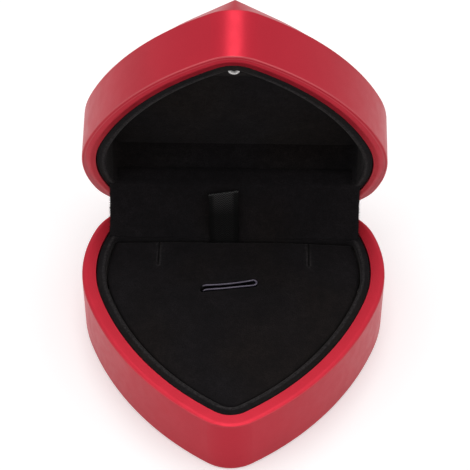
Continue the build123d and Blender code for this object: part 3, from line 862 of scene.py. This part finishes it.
def swell_rear(point, rear, bottom, top):
    """A point of the cushion, with the rear edge swollen back and up, except where the ribbon holds it in."""
    x, y, z = point
    near = min(max(1 - (rear - y) / REAR_BULGE_REACH, 0.0), 1.0)
    near *= near * (3 - 2 * near)
    beside = (x - RIBBON_FOOT_X) / RIBBON_FOOT_WIDTH * RIBBON_HOLD_SHARE
    free = 1 - RIBBON_HOLD * math.exp(-(beside**4))
    high = share_between(z, bottom, top)
    return (x, y + REAR_BULGE * near * free * high, z + REAR_RISE * near * high)


def centroid(places, corners):
    """Middle of a triangle."""
    return sum((places[i] for i in corners), Vector((0, 0))) / len(corners)


def make_cushion():
    """The velvet pad as one closed mesh: top, sides, underside, and the slot's walls and floor."""
    low, high = box_mm("insert_pad")
    rear, top, bottom = high.y, high.z, low.z
    middle = (low.y + high.y) / 2
    line = np.array(tray_outline(CUSHION_INSET, rear, CUSHION_CORNER, OUTLINE_FINE))
    boundary = cushion_boundary(rear)
    slot = slot_outline(SLOT_WIDTH, SLOT_SPACING)
    count = len(boundary)

    edges = ring_edges(0, count) + ring_edges(count, len(slot))
    flat = [Vector(place) for place in boundary + slot + cushion_fill(low, high, line)]
    places, _, triangles = geometry.delaunay_2d_cdt(flat, edges, [], 1, WELD)[:3]
    faces = [tuple(t) for t in triangles if slot_distance(centroid(places, t)) > 0]
    points = []
    for place in places:
        height = cushion_height(place, line_distance(place, line), rear, middle, top)
        points.append((place.x, place.y, height))

    rows = [0]
    for share, pull in CUSHION_SIDES:
        rows.append(len(points))
        for i, (x, y) in enumerate(boundary):
            toward = Vector((-x, middle - y)).normalized() * CUSHION_DRAW_IN * pull
            points.append((x + toward.x, y + toward.y, bottom + (points[i][2] - bottom) * share))
    points = [swell_rear(point, rear, bottom, top) for point in points]
    for above, below in zip(rows, rows[1:]):
        faces += ring_faces(above, below, count)
    underside = geometry.delaunay_2d_cdt(flat[:count], edges[:count], [], 1, WELD)[2]
    faces += [tuple(rows[-1] + i for i in t) for t in underside]

    slot_floor = len(points)
    points += [(x, y, top - SLOT_DEPTH) for x, y in slot]
    faces += ring_faces(count, slot_floor, len(slot))
    faces.append(tuple(range(slot_floor, slot_floor + len(slot))))
    piece = make_object("velvet_cushion", points, faces)
    # Painted sheen: the pile on the slits' raised lips is painted paler
    sheen_above = top - SLIT_SHEEN_DEPTH
    mark_painted_sheen(piece, [slit_lip(p, rear) * SLIT_SHEEN if p[2] > sheen_above else 0.0 for p in points])
    return piece


cushion = make_cushion()
finish_piece(cushion, "insert", "velvet", "insert_pad")


# Piping round the ring slot: a bead with a flat tail that lines the slot

def piping_route():
    """Middle of the bead in the slot's own frame, from one tucked end round the right to the other."""
    run = 2 * PIPING_REACH + PIPING_OVERRUN
    xs = [-PIPING_REACH - PIPING_OVERRUN + run * i / PIPING_STEPS for i in range(PIPING_STEPS + 1)]
    lower = [(x, -PIPING_HALF + PIPING_SPREAD_LOWER * min(x / PIPING_REACH, 0) ** 2) for x in xs]
    upper = [(x, PIPING_HALF + PIPING_SPREAD * (x / PIPING_REACH) ** 2) for x in reversed(xs)]
    low, high = lower[-1][1], upper[0][1]
    turn = arc_points((PIPING_REACH, (low + high) / 2), (high - low) / 2, -90, 90, PIPING_TURN_SPACING)
    return lower + turn[1:-1] + upper


def piping_profile():
    """The bead and its tail, across and up, anticlockwise from the tail's right."""
    half = PIPING_TAIL_THICKNESS / 2
    start = math.degrees(math.asin(half / PIPING_RADIUS)) - 90
    bead = arc_points((0, 0), PIPING_RADIUS, start, 180 - start, BEAD_SPACING)
    return [(half, -PIPING_TAIL)] + bead + [(-half, -PIPING_TAIL)]


def make_piping(top):
    """The bound edge of the ring slot as one swept mesh, its ends tucked down."""
    route = piping_route()
    profile = piping_profile()
    tuck_start, tuck_length = PIPING_TUCK
    points = []
    for i, place in enumerate(route):
        along = direction(route, i)
        tuck = max(-PIPING_REACH + tuck_start - place[0], 0.0) / tuck_length
        height = top - PIPING_DIP * min(tuck, 1.0) ** 2
        for across, up in profile:
            x, y = slot_to_box((place[0] + along.y * across, place[1] - along.x * across))
            points.append((x, y, height + up))
    return make_object("slot_piping", points, swept_faces(len(route), len(profile)))


piping = make_piping(box_mm("slot_edging")[1].z - PIPING_RADIUS)
finish_piece(piping, "insert", "slot_binding", "slot_edging")


# Flap: velvet that bridges the two halves in front of the hinges

def bowed(start, end, bow, count):
    """Points from one place to another, bowed to the right of the way they run."""
    along = Vector(end) - Vector(start)
    side = Vector((along.y, -along.x)).normalized()
    places = [i / count for i in range(count + 1)]
    return [Vector(start) + along * t + side * 4 * bow * t * (1 - t) for t in places]


def flap_route():
    """The flap's middle, to the rear and up: over the base's rear lip, across, and over the lid's."""
    base_lip = box_mm("base_liner")[1].z
    first, start = [(HINGE_Y - BASE_REACH + back, base_lip + up) for back, up in FLAP_START]
    end, *roll = [lid_point(0, LID_REACH + front, deep).yz for front, deep in [FLAP_END] + FLAP_ROLL]
    return [Vector(first)] + bowed(start, end, FLAP_BOW, FLAP_STEPS) + roll


def flap_edge(side, along):
    """How far one side of the flap reaches, slightly uneven."""
    place = Vector((along * FLAP_RAGGED_STEP, side * FLAP_SEED[0], FLAP_SEED[1]))
    return side * FLAP_WIDTH / 2 + FLAP_RAGGED * noise.noise(place)


def flap_point(route, i, x):
    """A place on the rippled flap."""
    along = direction(route, i)
    share = i / (len(route) - 1)
    ripple = 0.0
    for height, size, waves, seed in FLAP_RIPPLE:
        ripple += height * noise.noise(Vector((x / size, share * waves, seed)))
    place = route[i] + Vector((along.y, -along.x)) * ripple * math.sin(math.pi * share)
    return Vector((x, *place))


def make_flap(route):
    """The flap as one thin sheet."""
    points = []
    for i in range(len(route)):
        left, right = flap_edge(-1, i), flap_edge(1, i)
        for k in range(FLAP_COLUMNS):
            points.append(flap_point(route, i, left + (right - left) * k / (FLAP_COLUMNS - 1)))
    piece = make_object("velvet_flap", points, grid_faces(len(route), FLAP_COLUMNS))
    thicken(piece, FLAP_THICKNESS)
    return piece


def make_fringe(route):
    """Loose pile along the flap's two cut sides, each fibre a bent three-sided spike."""
    noise.seed_set(FRINGE_SEED)
    points, faces = [], []
    spans = len(route) - 1
    shortest, longest = FRINGE_LENGTH
    step, apart, level = FRINGE_WAVE
    for side in (-1, 1):
        for k in range(FRINGE_COUNT):
            run = (k + 0.5) / FRINGE_COUNT * spans
            i = min(int(run), spans - 1)
            edge = flap_edge(side, i) - side * FRINGE_ROOT
            root = flap_point(route, i, edge).lerp(flap_point(route, i + 1, edge), run - i)
            wave = noise.noise_vector(Vector((k * step, side * apart, level)))
            reach = shortest + (longest - shortest) * abs(wave.x) * FRINGE_GAIN
            tip = root + Vector((side * reach, FRINGE_SWAY[0] * wave.y, FRINGE_SWAY[1] * wave.z))
            root += Vector((0, FRINGE_SCATTER * wave.z, FRINGE_SCATTER * wave.y))
            bend = root.lerp(tip, FRINGE_BEND) + Vector((0, 0, FRINGE_BEND_RISE * wave.y))
            first = len(points)
            second = first + FRINGE_SIDES
            for place, radius in ((root, FRINGE_RADIUS), (bend, FRINGE_RADIUS * FRINGE_TAPER)):
                for corner in range(FRINGE_SIDES):
                    angle = 2 * math.pi * corner / FRINGE_SIDES
                    points.append(place + Vector((0, radius * math.cos(angle), radius * math.sin(angle))))
            points.append(tip)
            faces += ring_faces(first, second, FRINGE_SIDES)
            faces += [(a, b, len(points) - 1) for a, b in ring_edges(second, FRINGE_SIDES)]
            faces.append(tuple(reversed(range(first, second))))
    return make_object("flap_fringe", points, faces)


flap_line = flap_route()
flap = make_flap(flap_line)
fringe = make_fringe(flap_line)
for piece in (flap, fringe):
    finish_piece(piece, None, "velvet")
    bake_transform(piece)
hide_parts("hinge_flap")


# Ribbon: a herringbone tape, folded under along both sides, that lifts the cushion

def ribbon_route():
    """The ribbon's middle, to the rear and up: behind the cushion, then leaning on the flap."""
    low, high = box_mm("ribbon_tab")
    rear = box_mm("insert_pad")[1].y
    foot, bend = [rear + gap for gap in RIBBON_GAP]
    across, far = flap_line[1], flap_line[FLAP_STEPS + 1]
    lean = (far - across).normalized()
    top = Vector((high.y - RIBBON_TOP_GAP * lean.y, high.z - RIBBON_TOP_GAP * lean.x))
    turn = top - lean * RIBBON_LENGTH
    turn = Vector((bend, turn.y + (bend - turn.x) * lean.y / lean.x))
    climb = turn.y - RIBBON_BEND - low.z
    route = []
    for i in range(RIBBON_FOOT + 1):
        back = foot + (bend - foot) * i / RIBBON_FOOT
        route.append(Vector((back, low.z + RIBBON_LIFT + climb * i / RIBBON_FOOT)))
    before, after = turn - Vector((0, RIBBON_BEND)), turn + lean * RIBBON_BEND
    for i in range(1, RIBBON_BEND_STEPS):
        t = i / RIBBON_BEND_STEPS
        route.append(before.lerp(turn, t).lerp(turn.lerp(after, t), t))
    return route + [after.lerp(top, i / RIBBON_STEPS) for i in range(RIBBON_STEPS + 1)]


def ribbon_section(width):
    """Across and out, from one folded-under edge round the front to the other."""
    under = (RIBBON_CUT - width) / 2
    half, deep, turn = width / 2, -RIBBON_FOLD, RIBBON_TURN
    left = [(-half + under, deep), (-half + under / 2, deep), (-half + turn, deep), (-half, deep / 2)]
    flat = width - 2 * turn
    front = [(-half + turn + flat * i / RIBBON_COLUMNS, 0.0) for i in range(RIBBON_COLUMNS + 1)]
    return left + front + [(-x, out) for x, out in reversed(left)]


def make_ribbon(name, route, first, last):
    """A stretch of the ribbon as one thin folded sheet, with lengths across and along it as its UVs."""
    points, marks = [], []
    total = route_length(route)
    for i in range(first, last + 1):
        run = route_length(route[:i + 1])
        along = direction(route, i)
        out = Vector((-along.y, along.x))
        share = run / total
        width = RIBBON_FOOT_WIDTH + (RIBBON_TOP_WIDTH - RIBBON_FOOT_WIDTH) * share
        middle = RIBBON_FOOT_X + (RIBBON_TOP_X - RIBBON_FOOT_X) * share
        section = ribbon_section(width)
        across = 0.0
        for k, (x, lift) in enumerate(section):
            if k:
                across += math.dist(section[k - 1], section[k])
            slip = RIBBON_SLANT * x * max(share - 0.5, 0) * 2
            dish = RIBBON_WAVE * math.sin(RIBBON_WAVE_TURN[0] * share + x * RIBBON_WAVE_TURN[1]) * share
            dish -= RIBBON_CUP * (2 * x / width) ** 2 * (1 - share)
            spot = route[i] + along * slip + out * (lift + dish)
            points.append(Vector((middle + x, *spot)))
            marks.append((across, run))
    piece = make_object(name, points, grid_faces(last - first + 1, len(section)))
    layer = piece.data.uv_layers.new(name="weave")
    for loop in piece.data.loops:
        layer.data[loop.index].uv = marks[loop.vertex_index]
    thicken(piece, RIBBON_PLY)
    return piece


ribbon_line = ribbon_route()
ribbon_tail = make_ribbon("ribbon_tail", ribbon_line, 0, RIBBON_FOOT)
finish_piece(ribbon_tail, "insert", "grosgrain")
ribbon = make_ribbon("ribbon", ribbon_line, RIBBON_FOOT, len(ribbon_line) - 1)
finish_piece(ribbon, "insert", "grosgrain", "ribbon_tab")
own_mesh(ribbon)


# Lips of the trays

def lip_line():
    """Centre, radius and angle of each place along the heart's front, from the left lobe to the right."""
    right = []
    for centre, radius, start, end in front_arcs(LIP_END):
        count = math.ceil(radius * math.radians(end - start) / LIP_SPACING)
        right += [(centre, radius, start + (end - start) * i / count) for i in range(count)]
    right.append((centre, radius, end))
    left = [((-centre[0], centre[1]), radius, 180 - angle) for centre, radius, angle in reversed(right[1:])]
    return left + right


def lip_profile():
    """The bead's inset and rise, over the top from outside to inside and back underneath."""
    profile = []
    for i in range(LIP_STEPS + 1):
        t = i / LIP_STEPS
        profile.append((LIP_OUTER + (LIP_INNER - LIP_OUTER) * t, LIP_RISE * math.sin(math.pi * t**LIP_LEAN)))
    return profile + [(LIP_INNER - back, rise) for back, rise in LIP_UNDER] + [(LIP_OUTER, LIP_SUNK)]


def lip_share(x):
    """How much of the lid's bead is left beside the lamp, where the lip lies flat."""
    share = share_between(abs(x), *LIP_FLAT)
    return LIP_LEAST + (1 - LIP_LEAST) * share * share * (3 - 2 * share)


def make_lip(name, to_frame, share_at):
    """A soft bead along the front of a tray's lip; to_frame sets a place and a rise in the box's frame."""
    profile = lip_profile()
    line = lip_line()
    step, seed = LIP_SEED
    points, pale_tone = [], []
    for i, (centre, radius, angle) in enumerate(line):
        turn = math.radians(angle)
        share = share_at(centre[0] + (radius - LIP_CREST) * math.cos(turn))
        swell = share * (1 + LIP_UNEVEN * noise.noise(Vector((i * step, seed, len(name)))))
        for inset, rise in profile:
            reach = radius - inset
            x, y = centre[0] + reach * math.cos(turn), centre[1] + reach * math.sin(turn)
            points.append(to_frame(x, y, rise * swell if rise > 0 else rise))
            # Painted sheen: the inner half of the crest is painted paler, the more the higher it rises
            pale_tone.append(share * LIP_SHEEN * max(rise / LIP_RISE, 0.0) if inset > LIP_CREST else 0.0)
    piece = make_object(name, points, swept_faces(len(line), len(profile)))
    mark_painted_sheen(piece, pale_tone)
    return piece


def base_lip_point(x, y, rise):
    """A place on the base's lip."""
    return Vector((x, y, HINGE_Z - LIP_LEVEL + rise))


def lid_lip_point(x, y, rise):
    """A place on the open lid's lip."""
    return lid_point(x, HINGE_Y - y, LIP_LEVEL - rise)


finish_piece(make_lip("base_lip", base_lip_point, lambda x: 1.0), "base", "liner_flock")
finish_piece(make_lip("lid_lip", lid_lip_point, lip_share), "lid", "liner_flock")


# Lamp

def make_ring():
    """The lamp's ring, turned about the lamp's axis, which points out of the lid."""
    low, high = box_mm("led_bezel")
    centre = (low + high) / 2
    out = Vector((0, -OPEN_SIN, -OPEN_COS))
    side = Vector((1, 0, 0))
    up = out.cross(side)
    middle, half, back = (RING_OUTER + RING_INNER) / 2, (RING_OUTER - RING_INNER) / 2, -RING_LENGTH / 2
    bead = arc_points((middle, RING_RISE - back - half), half, 0, 180, BEAD_SPACING)
    profile = [(RING_OUTER, back)] + bead + [(RING_INNER, back)]
    size = len(profile)
    points, faces = [], []
    for i in range(RING_STEPS):
        angle = 2 * math.pi * i / RING_STEPS
        across = side * math.cos(angle) + up * math.sin(angle)
        points += [centre + across * radius + out * reach for radius, reach in profile]
        faces += ring_faces(i * size, (i + 1) % RING_STEPS * size, size)
    return make_object("lamp_ring", points, faces)


finish_piece(make_ring(), "lid", "lamp_holder", "led_bezel")

# Camera

camera_data = bpy.data.cameras.new("camera")
camera_data.lens = CAMERA_LENS
camera_data.sensor_width = CAMERA_SENSOR
camera_data.clip_start = CAMERA_NEAR * MM
camera = bpy.data.objects.new("camera", camera_data)
camera.location = Vector(CAMERA_PLACE) * MM
camera.rotation_euler = [math.radians(turn) for turn in CAMERA_TURN]
bpy.context.scene.collection.objects.link(camera)
bpy.context.scene.camera = camera


# Floor and light

def seen_directly(tree):
    """1 for rays that show the background: those of the camera, of gloss and of glass."""
    rays = tree.nodes.new("ShaderNodeLightPath").outputs
    both = calculate(tree, "MAXIMUM", rays["Is Camera Ray"], rays["Is Glossy Ray"])
    return calculate(tree, "MAXIMUM", both, rays["Is Transmission Ray"])


def floor_material():
    """Matt white paper that shows as white and keeps the shadow."""
    material, tree, shader = new_material("floor")
    lift = calculate(tree, "MULTIPLY", seen_directly(tree), FLOOR_LIFT)
    feed(tree, shader, Base_Color=grey(0.8), Roughness=0.9, Specular_IOR_Level=0.0,
         Emission_Color=grey(1), Emission_Strength=lift)
    return material


def soft_box(name, place, size, power):
    """A rectangular soft light that points at the object."""
    data = bpy.data.lights.new(name, "AREA")
    data.shape = "RECTANGLE"
    data.size, data.size_y = size[0] * MM, size[1] * MM
    data.energy = power
    light = bpy.data.objects.new(name, data)
    light.location = Vector(place) * MM
    light.rotation_euler = (Vector(OBJECT_MIDDLE) - Vector(place)).to_track_quat("-Z", "Y").to_euler()
    bpy.context.scene.collection.objects.link(light)


floor_corners = [(x * FLOOR_HALF, y * FLOOR_HALF, 0) for x, y in ((-1, -1), (1, -1), (1, 1), (-1, 1))]
floor = make_object("floor", floor_corners, [(0, 1, 2, 3)], smooth=False)
floor.data.materials.append(floor_material())

world = bpy.data.worlds.new("studio")
world.use_nodes = True
studio = world.node_tree
strength = node(studio, "ShaderNodeMapRange", Value=seen_directly(studio), To_Min=WORLD_STRENGTH, To_Max=1.0)
feed(studio, studio.nodes["Background"], Color=grey(1), Strength=strength.outputs["Result"])
bpy.context.scene.world = world

for name, light in LIGHTS.items():
    soft_box(name, *light)

bpy.context.scene.view_settings.view_transform = "Standard"
